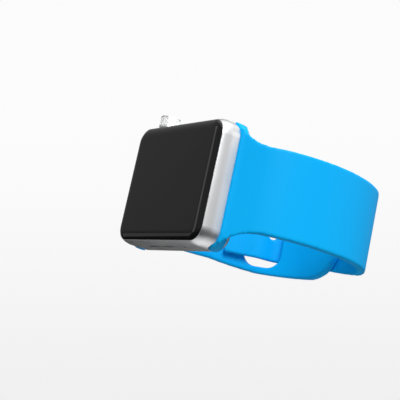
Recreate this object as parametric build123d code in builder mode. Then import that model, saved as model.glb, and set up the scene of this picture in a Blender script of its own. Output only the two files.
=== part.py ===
from build123d import *
import os
from math import acos, cos, degrees, radians, sin

# A rounded rectangular smartwatch on its elastomer band, closed by a pin and a tucked tail.
# Units are millimetres. +Z runs from the case towards the crown, -Y is where the display faces,
# +X is the 6 o'clock end. The watch rests on the side of the case that is opposite the crown.
# "Depth" is measured from the case's centre plane, away from the display; "height" from the
# case's middle towards the crown.
os.makedirs("parts", exist_ok=True)

# ---------------------------------------------------------------- driving dimensions
# Case
case_length = 42.0
case_width = 35.9
case_corner = 5.0
case_front = -4.2            # depth of the seam between metal and glass
case_back = 6.0              # depth of the flat back
front_round_start = -1.0     # depth where the side starts to curve in towards the glass
front_round_inset = 0.80     # how far that curve comes in
back_round = 1.8
rim_width = 0.15             # flat rim between the curve and the glass
side_wall = 2.3
back_wall = 1.0
glass_ledge_depth = -3.3
slot_wall = 1.25             # between the cavity and a band slot
end_wall_depth = 0.4         # behind this depth the cavity narrows to leave room for the band slots

# Glass and display
glass_front = -5.3
glass_round_width = 2.6
glass_gap = 0.05
gasket_thickness = 0.15
display_thickness = 0.8
display_margin = 0.5
shield_thickness = 0.3

# Band slots
slot_mid_depth = 2.85
neck_thickness = 2.9
neck_gap = 0.05
bead_radius = 1.95
bead_gap = 0.10
bead_setback = 2.4           # bead axis behind the end face
lug_gap = 0.12               # strap to the outside of the case

# Band
strap_thickness = 2.4
strap_half_width = 12.0
lug_half_width = 18.1
lug_proud = 0.5              # band ends beyond the case, all round its corners
flare_radius = 8.0
flare_end_depth = 8.5
horn_corner = 9.2
horn_reach = 3.9
strap_gap = 0.2
lug_angle = 38.0
lug_run = 7.46
bend_radius = 18.1
bend_turn = 27.0
side_radius = 36.4
side_turn = 55.0
corner_radius = 29.5
closure_inset = 15.9         # the flat at the back is this much shorter than the case, at each end
closure_half_flat = case_length / 2 - closure_inset
tail_half_width = 9.0
tail_turn = 20.0
dive_start = 19.5            # degrees round the corner where the tail starts to dive
dive_radius = 7.0
closure_half_width = 13.8
short_tip_turn = 9.4
short_tip_round = 12.0
hole_pitch = 8.0
hole_radius = 1.9
holes_each_way = 3
pin_place = 0.5
pin_radius = 1.5
pin_head_radius = 2.35
pin_head_thickness = 0.8
pin_base_radius = 2.7
pin_base_thickness = 0.5
pin_gap = 0.03
pin_head_round = 0.6
tuck_slot_length = 13.0
tuck_slot_width = 23.0
tuck_slot_corner = 4.6
tuck_slot_lag = 15.0         # degrees from the start of the dive to the middle of the slot

# Crown
crown_place = -12.8
crown_radius = 3.0
crown_base = 0.15            # crown above the case's side
crown_height = 3.6
crown_travel = 0.35
crown_seat_depth = 0.3
crown_seat_gap = 0.25
knurl_count = 48
knurl_radius = 0.11
shaft_radius = 0.9
shaft_gap = 0.05
bushing_inner = 1.25
bushing_outer = 1.8
seal_gap = 0.03

# Side button
button_place = 6.5
button_depth = 0.2
button_length = 11.8
button_width = 2.6
button_gap = 0.10
button_proud = 0.3
button_travel = 0.3

# Band release buttons
release_length = 6.4
release_width = 2.0
release_gap = 0.05
release_flange = 0.4
latch_pocket_length = 8.0
latch_pocket_width = 3.2
latch_pocket_corner = 0.5
latch_length = 5.6
latch_width = 0.9
latch_thickness = 0.4
latch_corner = 0.3

# Inside
boss_from_end = 5.3
boss_from_side = 2.05
crown_boss_offset = 6.2
screw_radius = 0.45
screw_head_radius = 0.95
boss_radius = 1.5
ear_radius = 1.3
board_thickness = 0.8
board_depth = 1.9
tray_thickness = 0.3
battery_length = 23.0
battery_width = 21.2
battery_place = -2.3
fit_gap = 0.1
stack_gap = 0.35             # between the display and what lies behind it
spare = 1.0                  # how far a cutting shape runs past what it cuts
through = 10.0               # depth of a cut into open space

# Sensor window
cover_radius = 14.6
cover_hole_radius = 13.5
cover_flange = 0.5
cover_dome = 1.1
lens_radius = 2.0
lens_circle = 5.0
sensor_board_radius = 6.6
coil_inner = 7.2
coil_outer = 12.4

# ---------------------------------------------------------------- derived places
half_length = case_length / 2
half_width = case_width / 2
seam_half_length = half_length - front_round_inset - rim_width
seam_half_width = half_width - front_round_inset - rim_width
seam_corner = case_corner - front_round_inset - rim_width
cavity_half_length = half_length - side_wall
cavity_half_width = half_width - side_wall
cavity_corner = case_corner - side_wall
cavity_back = case_back - back_wall
bead_place = half_length - bead_setback
slot_inner_face = bead_place - bead_radius - bead_gap
rear_cavity_half_length = slot_inner_face - slot_wall
strap_front = slot_mid_depth - neck_thickness / 2
gasket_depth = glass_ledge_depth - gasket_thickness
side_radius_short = side_radius - (strap_thickness + strap_gap) / (
    cos(radians(lug_angle + bend_turn)) - cos(radians(lug_angle + bend_turn + side_turn)))
corner_turn = 180.0 - lug_angle - bend_turn - side_turn


def turned(point, heading, move):
    """The point and heading at the far end of one move: (run,) or (radius, turn in degrees)."""
    x, depth = point
    if len(move) == 1:
        return (x + move[0] * cos(heading), depth + move[0] * sin(heading)), heading
    radius, turn = move
    side = 1.0 if turn > 0 else -1.0
    centre = (x - side * radius * sin(heading), depth + side * radius * cos(heading))
    heading += radians(turn)
    return (centre[0] + side * radius * sin(heading), centre[1] - side * radius * cos(heading)), heading


def walk(start, heading, moves, distance):
    """Point and heading on the outer line of a strap, a given distance along it."""
    point = start
    for move in moves:
        length = move[0] if len(move) == 1 else move[0] * abs(radians(move[1]))
        if distance <= length:
            part = (distance,) if len(move) == 1 else (move[0], move[1] * distance / length)
            return turned(point, heading, part)
        distance -= length
        point, heading = turned(point, heading, move)
    return point, heading


def long_moves():
    """Outer line of the strap with holes: round the loop, over the other strap and through it."""
    top = strap_thickness + strap_gap
    over = corner_radius + top - strap_thickness / 2
    under = corner_radius - top - strap_thickness / 2
    a_side = over - dive_radius
    b_side = under + dive_radius
    joined = 2 * dive_radius
    at_a = degrees(acos((a_side**2 + joined**2 - b_side**2) / (2 * a_side * joined)))
    at_b = degrees(acos((b_side**2 + joined**2 - a_side**2) / (2 * b_side * joined)))
    return [
        (lug_run,),
        (bend_radius, bend_turn),
        (side_radius, side_turn),
        (corner_radius, corner_turn),
        (2 * closure_half_flat,),
        (corner_radius + top, dive_start),
        (dive_radius + strap_thickness / 2, 180.0 - at_a),
        (dive_radius - strap_thickness / 2, -at_b),
        (under + strap_thickness / 2, tail_turn),
    ]


def short_moves():
    """Outer line of the strap with the pin, which passes inside the other one."""
    return [
        (lug_run,),
        (bend_radius, bend_turn),
        (side_radius_short, side_turn),
        (corner_radius, corner_turn),
        (2 * closure_half_flat,),
        (corner_radius - strap_thickness - strap_gap, short_tip_turn),
    ]


root_point = (half_length, strap_front)
root_heading = radians(lug_angle)
back_point = walk(root_point, root_heading, long_moves()[:4], 1e9)[0]
loop_back = back_point[1]
short_outer = loop_back - strap_thickness - strap_gap
pin_tip = loop_back + pin_head_thickness + fit_gap
long_reach, short_reach = (
    walk(root_point, root_heading, moves[:2] + [(moves[2][0], 90.0 - lug_angle - bend_turn)], 1e9)[0][0]
    for moves in (long_moves(), short_moves()))
x_case = (short_reach - long_reach) / 2
y_case = -(pin_tip + glass_front) / 2
z_case = half_width + lug_proud


def facing(depth=0.0):
    """Plane parallel to the display: local x is +X, local y is +Z, its normal is -Y."""
    return Plane(origin=(x_case, y_case + depth, z_case), x_dir=(1, 0, 0), z_dir=(0, -1, 0))


def level(height=0.0):
    """Plane across the crown's axis: local x is +X, local y is depth, its normal is +Z."""
    return Plane(origin=(x_case, y_case, z_case + height), x_dir=(1, 0, 0), z_dir=(0, 0, 1))


def across(x=0.0):
    """Plane across the watch's length: local x is depth, local y is +Z, its normal is +X."""
    return Plane(origin=(x_case + x, y_case, z_case), x_dir=(0, 1, 0), z_dir=(1, 0, 0))


def save(part, name):
    part.label = name
    export_step(part, "parts/" + name + ".step")


def rounded_edge(path_half_length, path_half_width, path_corner, curve, waste):
    """Cut away what lies between a curve and its waste corners, all round a rounded rectangle."""
    start, end, tangent = curve
    with BuildSketch(facing(start[1]), mode=Mode.PRIVATE) as outline:
        RectangleRounded(2 * path_half_length, 2 * path_half_width, path_corner)
    with BuildSketch(level()) as profile:
        with BuildLine():
            TangentArc(start, end, tangent=tangent)
            Polyline(end, *waste, start)
        make_face()
    sweep(profile.sketch, path=outline.sketch.faces()[0].outer_wire(), mode=Mode.SUBTRACT)


# ---------------------------------------------------------------- case
# The case is machined from one block of aluminium, open at the display, with a slot for the band
# along each end, a round window in the back, and holes for the crown, button, speaker and microphone.
screw_spots = [
    (cavity_half_length - boss_from_end, boss_from_side - cavity_half_width),
    (boss_from_end - cavity_half_length, boss_from_side - cavity_half_width),
    (cavity_half_length - boss_from_end, cavity_half_width - boss_from_side),
    (crown_place + crown_boss_offset, cavity_half_width - boss_from_side),
]
speaker_ports = [-6.0, 1.0]
microphone_place = 9.0
port_depth = -0.4
port_length = 5.8
port_width = 1.1
diagnostic_length = 5.0
diagnostic_width = 1.6
release_place = bead_place - 1.0
release_inner = slot_mid_depth + bead_radius + bead_gap + 0.05
flange_thickness = 0.35
flange_seat = release_inner + flange_thickness + 0.05
flange_pocket_depth = 2.0
wall_cut = side_wall + 0.2
crown_pocket_depth = 4.0
port_hole_depth = 2.0

with BuildPart() as case_shell:
    with BuildSketch(facing(case_back)):
        RectangleRounded(case_length, case_width, case_corner)
    extrude(amount=case_back - case_front)
    fillet(case_shell.faces().sort_by(Axis.Y)[-1].edges(), back_round)
    rounded_edge(half_length, half_width, case_corner,
                 ((half_length, front_round_start),
                  (half_length - front_round_inset, case_front),
                  (0, -1)),
                 [(half_length - front_round_inset, case_front - spare),
                  (half_length + spare, case_front - spare),
                  (half_length + spare, front_round_start)])
    with BuildSketch(facing(glass_ledge_depth)):
        RectangleRounded(2 * seam_half_length, 2 * seam_half_width, seam_corner)
    extrude(amount=through, mode=Mode.SUBTRACT)
    with BuildSketch(facing(end_wall_depth)):
        RectangleRounded(2 * cavity_half_length, 2 * cavity_half_width, cavity_corner)
    extrude(amount=through, mode=Mode.SUBTRACT)
    with BuildSketch(facing(cavity_back)):
        RectangleRounded(2 * rear_cavity_half_length, 2 * cavity_half_width, cavity_corner)
    extrude(amount=cavity_back, mode=Mode.SUBTRACT)
    with BuildSketch(facing(cavity_back)):
        with Locations(*screw_spots):
            Circle(boss_radius)
    extrude(amount=cavity_back - board_depth - board_thickness)
    with BuildSketch(facing(cavity_back)):
        with Locations(*screw_spots):
            Circle(screw_radius)
    extrude(amount=cavity_back - board_depth - board_thickness, mode=Mode.SUBTRACT)
    with BuildSketch(level()):
        for end in (-1, 1):
            with Locations((end * bead_place, slot_mid_depth)):
                Circle(bead_radius + bead_gap)
            with Locations((end * (bead_place + half_length + spare) / 2, slot_mid_depth)):
                Rectangle(half_length + spare - bead_place, neck_thickness + 2 * neck_gap)
    extrude(amount=half_width + spare, both=True, mode=Mode.SUBTRACT)
    with BuildSketch(facing(case_back)):
        Circle(cover_hole_radius)
    extrude(amount=back_wall, mode=Mode.SUBTRACT)
    with BuildSketch(facing(case_back)):
        Circle(cover_radius + fit_gap)
    extrude(amount=cover_flange + gasket_thickness, mode=Mode.SUBTRACT)
    with BuildSketch(facing(case_back)):
        with Locations((release_place, 0), (-release_place, 0)):
            SlotOverall(release_length + 2 * release_gap, release_width + 2 * release_gap, rotation=90)
    extrude(amount=case_back - slot_mid_depth, mode=Mode.SUBTRACT)
    with BuildSketch(facing(flange_seat)):
        with Locations((release_place, 0), (-release_place, 0)):
            SlotOverall(release_length + 2 * release_flange + 2 * release_gap,
                        release_width + 2 * release_flange + 2 * release_gap, rotation=90)
    extrude(amount=flange_pocket_depth, mode=Mode.SUBTRACT)
    with BuildSketch(level(half_width)):
        with Locations((crown_place, 0)):
            Circle(crown_radius + crown_seat_gap)
    extrude(amount=-crown_seat_depth, mode=Mode.SUBTRACT)
    with BuildSketch(level(half_width)):
        with Locations((crown_place, 0)):
            Circle(bushing_outer)
        with Locations((button_place, button_depth)):
            SlotOverall(button_length + 2 * button_gap, button_width + 2 * button_gap)
    extrude(amount=-wall_cut, mode=Mode.SUBTRACT)
    with BuildSketch(level(cavity_half_width)):
        with Locations((crown_place, 0)):
            Circle(bushing_outer + fit_gap)
    extrude(amount=-crown_pocket_depth, mode=Mode.SUBTRACT)
    with BuildSketch(level(-half_width)):
        with Locations(*[(x, port_depth) for x in speaker_ports]):
            SlotOverall(port_length, port_width)
        with Locations((microphone_place, port_depth)):
            Circle(port_width / 2)
    extrude(amount=wall_cut, mode=Mode.SUBTRACT)
    with BuildSketch(across(rear_cavity_half_length - fit_gap)):
        with Locations((slot_mid_depth, 0)):
            SlotOverall(diagnostic_length, diagnostic_width, rotation=90)
    extrude(amount=port_hole_depth, mode=Mode.SUBTRACT)
save(case_shell.part, "case_shell")

# ---------------------------------------------------------------- glass and display
# The glass bends down all round its edge to meet the metal. It sits on an adhesive gasket, with the
# panel laminated under it and a steel plate behind the panel.
with BuildPart() as cover_glass:
    with BuildSketch(facing(gasket_depth)):
        RectangleRounded(2 * (seam_half_length - glass_gap), 2 * (seam_half_width - glass_gap),
                         seam_corner - glass_gap)
    extrude(amount=gasket_depth - glass_front)
    glass_edge = seam_half_length - glass_gap
    rounded_edge(glass_edge - glass_round_width, seam_half_width - glass_gap - glass_round_width,
                 seam_corner - glass_gap - glass_round_width,
                 ((glass_edge - glass_round_width, glass_front), (glass_edge, case_front), (1, 0)),
                 [(glass_edge + spare, case_front),
                  (glass_edge + spare, glass_front - spare),
                  (glass_edge - glass_round_width, glass_front - spare)])
save(cover_glass.part, "cover_glass")

with BuildPart() as display_gasket:
    with BuildSketch(facing(glass_ledge_depth)):
        RectangleRounded(2 * (seam_half_length - fit_gap), 2 * (seam_half_width - fit_gap),
                         seam_corner - fit_gap)
        RectangleRounded(2 * (cavity_half_length + fit_gap), 2 * (cavity_half_width + fit_gap),
                         cavity_corner + fit_gap, mode=Mode.SUBTRACT)
    extrude(amount=gasket_thickness)
save(display_gasket.part, "display_gasket")

panel_depth = gasket_depth + display_thickness
shield_depth = panel_depth + shield_thickness
shield_window_length = 12.0
shield_window_width = 3.0
shield_window_inset = 6.0
with BuildPart() as display_panel:
    with BuildSketch(facing(panel_depth)):
        RectangleRounded(2 * (cavity_half_length - display_margin),
                         2 * (cavity_half_width - display_margin), cavity_corner - display_margin)
    extrude(amount=display_thickness)
save(display_panel.part, "display_panel")

with BuildPart() as display_shield:
    with BuildSketch(facing(shield_depth)):
        RectangleRounded(2 * (cavity_half_length - 2 * display_margin),
                         2 * (cavity_half_width - 2 * display_margin),
                         cavity_corner - 2 * display_margin)
        with Locations((cavity_half_length - shield_window_inset, 0)):
            SlotOverall(shield_window_length, shield_window_width, rotation=90, mode=Mode.SUBTRACT)
    extrude(amount=shield_thickness)
save(display_shield.part, "display_shield")

# Ribbon from the display down to the main board, at the 12 o'clock end.
flex_thickness = 0.2
flex_wall = 1.2 - rear_cavity_half_length
flex_width = 8.0
flex_upper_end = flex_wall - 2.6
flex_lower_end = flex_wall + 2.4
flex_corner = 0.04
with BuildPart() as display_flex:
    with BuildSketch(level()):
        with BuildLine():
            FilletPolyline(
                (flex_upper_end, shield_depth),
                (flex_wall, shield_depth),
                (flex_wall, board_depth - flex_thickness),
                (flex_lower_end, board_depth - flex_thickness),
                (flex_lower_end, board_depth),
                (flex_wall - flex_thickness, board_depth),
                (flex_wall - flex_thickness, shield_depth + flex_thickness),
                (flex_upper_end, shield_depth + flex_thickness),
                radius=flex_corner, close=True)
        make_face()
    extrude(amount=flex_width / 2, both=True)
save(display_flex.part, "display_flex")

# ---------------------------------------------------------------- battery, board and frame
tray_depth = board_depth
battery_back = tray_depth - tray_thickness
battery_front = shield_depth + stack_gap
battery_corner = 1.2
battery_round = 0.5
tray_margin = 0.2
ear_run = 4.0
arm_width = 2.4
arm_middle = battery_width / 2 + tray_margin - arm_width / 2
flex_notch_length = 6.0
with BuildPart() as battery:
    with BuildSketch(facing(battery_back)):
        with Locations((battery_place, 0)):
            RectangleRounded(battery_length, battery_width, battery_corner)
    extrude(amount=battery_back - battery_front)
    fillet(battery.edges().group_by(Axis.Y)[0], battery_round)
save(battery.part, "battery")

with BuildPart() as battery_tray:
    with BuildSketch(facing(tray_depth)):
        with Locations((battery_place, 0)):
            RectangleRounded(battery_length + 2 * tray_margin, battery_width + 2 * tray_margin,
                             battery_corner + tray_margin)
        for x, height in screw_spots:
            side = 1 if height > 0 else -1
            with Locations((x, height - side * ear_run / 2)):
                Rectangle(2 * ear_radius, ear_run)
            with Locations((x, height)):
                Circle(ear_radius)
            with Locations(((x + battery_place) / 2, side * arm_middle)):
                Rectangle(abs(x - battery_place) + 2 * ear_radius, arm_width)
        with Locations(*screw_spots):
            Circle(screw_radius + fit_gap, mode=Mode.SUBTRACT)
        with Locations((flex_wall, 0)):
            Rectangle(flex_notch_length, flex_width + 1.0, mode=Mode.SUBTRACT)
    extrude(amount=tray_thickness)
save(battery_tray.part, "battery_tray")

board_half_length = rear_cavity_half_length - 0.3
board_half_width = cavity_half_width - 0.4
board_corner = 1.5
with BuildPart() as main_board:
    with BuildSketch(facing(board_depth + board_thickness)):
        RectangleRounded(2 * board_half_length, 2 * board_half_width, board_corner)
        with Locations(*screw_spots):
            Circle(screw_radius + fit_gap, mode=Mode.SUBTRACT)
    extrude(amount=board_thickness)
save(main_board.part, "main_board")

lid_height = 1.3
lid_size = 22.8
lid_wall = 0.3
lid_corner = 1.0
lid_top = board_depth + board_thickness + lid_height
with BuildPart() as board_shield:
    with BuildSketch(facing(lid_top)):
        RectangleRounded(lid_size, lid_size, lid_corner)
    extrude(amount=lid_height)
    with BuildSketch(facing(lid_top - lid_wall)):
        RectangleRounded(lid_size - 2 * lid_wall, lid_size - 2 * lid_wall, lid_corner - lid_wall)
    extrude(amount=lid_height, mode=Mode.SUBTRACT)
save(board_shield.part, "board_shield")

screw_tip = cavity_back - 0.3
head_height = 0.5
recess_length = 1.1
recess_width = 0.28
recess_depth = 0.25
with BuildPart() as case_screws:
    with BuildSketch(facing(screw_tip)):
        with Locations(*screw_spots):
            Circle(screw_radius)
    extrude(amount=screw_tip - battery_back)
    with BuildSketch(facing(battery_back)):
        with Locations(*screw_spots):
            Circle(screw_head_radius)
    extrude(amount=head_height)
    with BuildSketch(facing(battery_back - head_height)):
        with Locations(*screw_spots):
            Rectangle(recess_length, recess_width)
            Rectangle(recess_width, recess_length)
    extrude(amount=-recess_depth, mode=Mode.SUBTRACT)
save(case_screws.part, "case_screws")

antenna_thickness = 0.4
antenna_place = 0.3 + antenna_thickness / 2 - cavity_half_length
antenna_length = 2 * cavity_half_width - 8.0
antenna_height = 1.8
with BuildPart() as antenna:
    with BuildSketch(facing(end_wall_depth - fit_gap)):
        with Locations((antenna_place, 0)):
            Rectangle(antenna_thickness, antenna_length)
    extrude(amount=antenna_height)
save(antenna.part, "antenna")

# ---------------------------------------------------------------- haptic engine
# A closed steel box. A tungsten mass slides along two rods between two coil springs.
haptic_width = 4.8
haptic_length = 21.0
haptic_place = rear_cavity_half_length - 0.3 - haptic_width / 2
haptic_front = shield_depth + stack_gap
haptic_back = battery_back - 0.05
haptic_wall = 0.4
haptic_mid = (haptic_front + haptic_back) / 2
mass_length = 12.0
mass_gap = 0.25              # mass to the housing, all round
mass_corner = 0.4
rod_radius = 0.4
rod_spacing = 2.2
spring_radius = 0.75
with BuildPart() as haptic_housing:
    with BuildSketch(facing(haptic_back)):
        with Locations((haptic_place, 0)):
            Rectangle(haptic_width, haptic_length)
    extrude(amount=haptic_back - haptic_front)
    with BuildSketch(facing(haptic_back - haptic_wall)):
        with Locations((haptic_place, 0)):
            Rectangle(haptic_width - 2 * haptic_wall, haptic_length - 2 * haptic_wall)
    extrude(amount=haptic_back - haptic_front - 2 * haptic_wall, mode=Mode.SUBTRACT)
save(haptic_housing.part, "haptic_housing")

rod_spots = [(haptic_place - rod_spacing / 2, haptic_mid), (haptic_place + rod_spacing / 2, haptic_mid)]
rod_half = haptic_length / 2 - haptic_wall
with BuildPart() as haptic_rods:
    with BuildSketch(level()):
        with Locations(*rod_spots):
            Circle(rod_radius)
    extrude(amount=rod_half, both=True)
save(haptic_rods.part, "haptic_rods")

with BuildPart() as haptic_mass:
    with BuildSketch(level()):
        with Locations((haptic_place, haptic_mid)):
            RectangleRounded(haptic_width - 2 * (haptic_wall + mass_gap),
                             haptic_back - haptic_front - 2 * (haptic_wall + mass_gap), mass_corner)
        with Locations(*rod_spots):
            Circle(rod_radius + shaft_gap, mode=Mode.SUBTRACT)
    extrude(amount=mass_length / 2, both=True)
save(haptic_mass.part, "haptic_mass")

for name, side in (("haptic_spring_upper", 1), ("haptic_spring_lower", -1)):
    with BuildPart() as haptic_spring:
        with BuildSketch(level(side * mass_length / 2)):
            with Locations(*rod_spots):
                Circle(spring_radius)
                Circle(rod_radius + fit_gap, mode=Mode.SUBTRACT)
        extrude(amount=side * (rod_half - mass_length / 2))
    save(haptic_spring.part, name)

# ---------------------------------------------------------------- speaker and microphone
speaker_depth = 3.9
speaker_front = -2.0
speaker_back = 1.25
speaker_length = 13.0
speaker_place = (speaker_ports[0] + speaker_ports[1]) / 2
speaker_corner = 0.4
speaker_wall_height = 0.35 - cavity_half_width
sound_duct_depth = 1.2
with BuildPart() as speaker_module:
    with BuildSketch(level(speaker_wall_height)):
        with Locations((speaker_place, (speaker_front + speaker_back) / 2)):
            Rectangle(speaker_length, speaker_back - speaker_front)
    extrude(amount=speaker_depth)
    fillet(speaker_module.edges().filter_by(Axis.Z), speaker_corner)
    with BuildSketch(level(speaker_wall_height)):
        with Locations(*[(x, port_depth) for x in speaker_ports]):
            SlotOverall(port_length - 0.6, port_width + 0.4)
    extrude(amount=sound_duct_depth, mode=Mode.SUBTRACT)
save(speaker_module.part, "speaker_module")

mesh_height = 1.0 - half_width
mesh_thickness = 0.25
with BuildPart() as acoustic_mesh:
    with BuildSketch(level(mesh_height)):
        with Locations(*[(x, port_depth) for x in speaker_ports]):
            SlotOverall(port_length - 2 * fit_gap, port_width - 2 * fit_gap)
        with Locations((microphone_place, port_depth)):
            Circle(port_width / 2 - fit_gap)
    extrude(amount=mesh_thickness)
save(acoustic_mesh.part, "acoustic_mesh")

port_gasket_thickness = 0.3
port_gasket_rim = 0.7
with BuildPart() as port_gaskets:
    with BuildSketch(level(0.05 - cavity_half_width)):
        with Locations(*[(x, port_depth) for x in speaker_ports]):
            SlotOverall(port_length + 0.6, port_width + 1.0)
            SlotOverall(port_length - 0.2, port_width + 0.4, mode=Mode.SUBTRACT)
        with Locations((microphone_place, port_depth)):
            Circle(port_width / 2 + port_gasket_rim)
            Circle(port_width / 2 + fit_gap, mode=Mode.SUBTRACT)
    extrude(amount=port_gasket_thickness)
save(port_gaskets.part, "port_gaskets")

microphone_length = 3.4
microphone_width = 2.4
microphone_height = 1.1
microphone_hole = 0.35
microphone_hole_depth = 0.5
with BuildPart() as microphone:
    with BuildSketch(level(speaker_wall_height)):
        with Locations((microphone_place, port_depth)):
            Rectangle(microphone_length, microphone_width)
    extrude(amount=microphone_height)
    with BuildSketch(level(speaker_wall_height)):
        with Locations((microphone_place, port_depth)):
            Circle(microphone_hole)
    extrude(amount=microphone_hole_depth, mode=Mode.SUBTRACT)
save(microphone.part, "microphone")

port_cover_thickness = 0.7
with BuildPart() as port_cover:
    with BuildSketch(across(slot_inner_face - fit_gap)):
        with Locations((slot_mid_depth, 0)):
            SlotOverall(diagnostic_length - 2 * fit_gap, diagnostic_width - 2 * fit_gap, rotation=90)
    extrude(amount=-port_cover_thickness)
save(port_cover.part, "port_cover")

# ---------------------------------------------------------------- crown
# The knob turns with its shaft in a bushing in the wall. Pressed, it drives a plunger that doesn't
# turn against a dome switch on the bracket. A clip behind the bushing keeps it in.
crown_bottom = half_width + crown_base
crown_top = crown_bottom + crown_height
shaft_end = cavity_half_width - 2.45
clip_height = cavity_half_width - 0.95
bushing_end = cavity_half_width - 0.45
plunger_end = shaft_end - 0.9
press_gap = 0.05             # plunger to the switch's dome at full travel
switch_top = plunger_end - crown_travel - press_gap
bracket_height = switch_top - 0.9

with BuildPart() as crown_bushing:
    with BuildSketch(level(bushing_end)):
        with Locations((crown_place, 0)):
            Circle(bushing_outer)
            Circle(bushing_inner, mode=Mode.SUBTRACT)
    extrude(amount=half_width - crown_seat_depth - bushing_end)
save(crown_bushing.part, "crown_bushing")

groove_floor = shaft_radius - 0.2
groove_height = 0.5
seal_height = 0.4
clip_thickness = 0.25
clip_opening = 0.9
stem_bore_depth = 1.2
seal_heights = [cavity_half_width + 0.5, cavity_half_width + 1.3]
with BuildPart() as crown_shaft:
    with BuildSketch(level(shaft_end)):
        with Locations((crown_place, 0)):
            Circle(shaft_radius)
    extrude(amount=crown_bottom + stem_bore_depth - shaft_end)
    for height in seal_heights:
        with BuildSketch(level(height - groove_height / 2)):
            with Locations((crown_place, 0)):
                Circle(shaft_radius + spare)
                Circle(groove_floor, mode=Mode.SUBTRACT)
        extrude(amount=groove_height, mode=Mode.SUBTRACT)
    with BuildSketch(level(clip_height)):
        with Locations((crown_place, 0)):
            Circle(shaft_radius + spare)
            Circle(groove_floor, mode=Mode.SUBTRACT)
    extrude(amount=clip_thickness, mode=Mode.SUBTRACT)
save(crown_shaft.part, "crown_shaft")

with BuildPart() as crown_seals:
    for height in seal_heights:
        with BuildSketch(level(height - seal_height / 2)):
            with Locations((crown_place, 0)):
                Circle(bushing_inner - seal_gap)
                Circle(groove_floor, mode=Mode.SUBTRACT)
        extrude(amount=seal_height)
save(crown_seals.part, "crown_seals")

with BuildPart() as crown_clip:
    with BuildSketch(level(clip_height)):
        with Locations((crown_place, 0)):
            Circle(bushing_outer - fit_gap)
            Circle(groove_floor, mode=Mode.SUBTRACT)
        with Locations((crown_place, bushing_outer)):
            Rectangle(clip_opening, 2 * bushing_outer, mode=Mode.SUBTRACT)
    extrude(amount=clip_thickness)
save(crown_clip.part, "crown_clip")

drum_height = shaft_end + 0.3
drum_radius = 1.45
drum_length = 1.0
with BuildPart() as crown_drum:
    with BuildSketch(level(drum_height)):
        with Locations((crown_place, 0)):
            Circle(drum_radius)
            Circle(shaft_radius, mode=Mode.SUBTRACT)
    extrude(amount=drum_length)
save(crown_drum.part, "crown_drum")

cap_radius = crown_radius - 0.65
cap_recess = 0.35
cap_gap = 0.02
cap_round = 0.15
crown_top_round = 0.35
crown_bottom_round = 0.2
knurl_margin = 0.55          # plain metal above and below the knurling
with BuildPart() as crown_knob:
    with BuildSketch(level(crown_bottom)):
        with Locations((crown_place, 0)):
            Circle(crown_radius)
    extrude(amount=crown_height)
    fillet(crown_knob.edges().group_by(Axis.Z)[-1], crown_top_round)
    fillet(crown_knob.edges().group_by(Axis.Z)[0], crown_bottom_round)
    with BuildSketch(level(crown_bottom + knurl_margin)):
        with Locations((crown_place, 0)):
            with PolarLocations(crown_radius, knurl_count):
                Circle(knurl_radius)
    extrude(amount=crown_height - 2 * knurl_margin, mode=Mode.SUBTRACT)
    with BuildSketch(level(crown_top)):
        with Locations((crown_place, 0)):
            Circle(cap_radius + cap_gap)
    extrude(amount=-cap_recess, mode=Mode.SUBTRACT)
    with BuildSketch(level(crown_bottom)):
        with Locations((crown_place, 0)):
            Circle(shaft_radius)
    extrude(amount=stem_bore_depth, mode=Mode.SUBTRACT)
save(crown_knob.part, "crown_knob")

with BuildPart() as crown_cap:
    with BuildSketch(level(crown_top - cap_recess)):
        with Locations((crown_place, 0)):
            Circle(cap_radius)
    extrude(amount=cap_recess)
    fillet(crown_cap.edges().group_by(Axis.Z)[-1], cap_round)
save(crown_cap.part, "crown_cap")

plunger_radius = 1.4
plunger_length = 1.1
with BuildPart() as crown_plunger:
    with BuildSketch(level(plunger_end)):
        with Locations((crown_place, 0)):
            Circle(plunger_radius)
    extrude(amount=plunger_length)
    with BuildSketch(level(shaft_end - shaft_gap)):
        with Locations((crown_place, 0)):
            Circle(shaft_radius + shaft_gap)
    extrude(amount=through, mode=Mode.SUBTRACT)
save(crown_plunger.part, "crown_plunger")

switch_length = 2.8
switch_width = 2.4
switch_corner = 0.2
switch_body_height = 0.55
switch_dome_radius = 0.9
switch_dome_round = 0.25
with BuildPart() as crown_switch:
    with BuildSketch(level(bracket_height)):
        with Locations((crown_place, 0)):
            RectangleRounded(switch_length, switch_width, switch_corner)
    extrude(amount=switch_body_height)
    with BuildSketch(level(bracket_height + switch_body_height)):
        with Locations((crown_place, 0)):
            Circle(switch_dome_radius)
    extrude(amount=switch_top - bracket_height - switch_body_height)
    fillet(crown_switch.edges().group_by(Axis.Z)[-1], switch_dome_round)
save(crown_switch.part, "crown_switch")

bracket_thickness = 0.25
bracket_half = 2.2
bracket_front = -1.6
bracket_back = 1.5
with BuildPart() as crown_bracket:
    with BuildSketch(facing(bracket_back)):
        with Locations((crown_place, bracket_height - bracket_thickness / 2)):
            Rectangle(2 * bracket_half, bracket_thickness)
    extrude(amount=bracket_back - bracket_front)
    arm_height = cavity_half_width - bracket_height + bracket_thickness
    with BuildSketch(facing(end_wall_depth - fit_gap)):
        with Locations((crown_place, cavity_half_width - arm_height / 2)):
            with GridLocations(2 * bracket_half - bracket_thickness, 0, 2, 1):
                Rectangle(bracket_thickness, arm_height)
    extrude(amount=end_wall_depth - fit_gap - bracket_front)
save(crown_bracket.part, "crown_bracket")

sensor_thickness = 0.3
sensor_width = 1.8
with BuildPart() as crown_sensor:
    with BuildSketch(level(drum_height)):
        with Locations((crown_place + bracket_half - bracket_thickness - sensor_thickness / 2, 0)):
            Rectangle(sensor_thickness, sensor_width)
    extrude(amount=drum_length)
save(crown_sensor.part, "crown_sensor")

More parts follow.
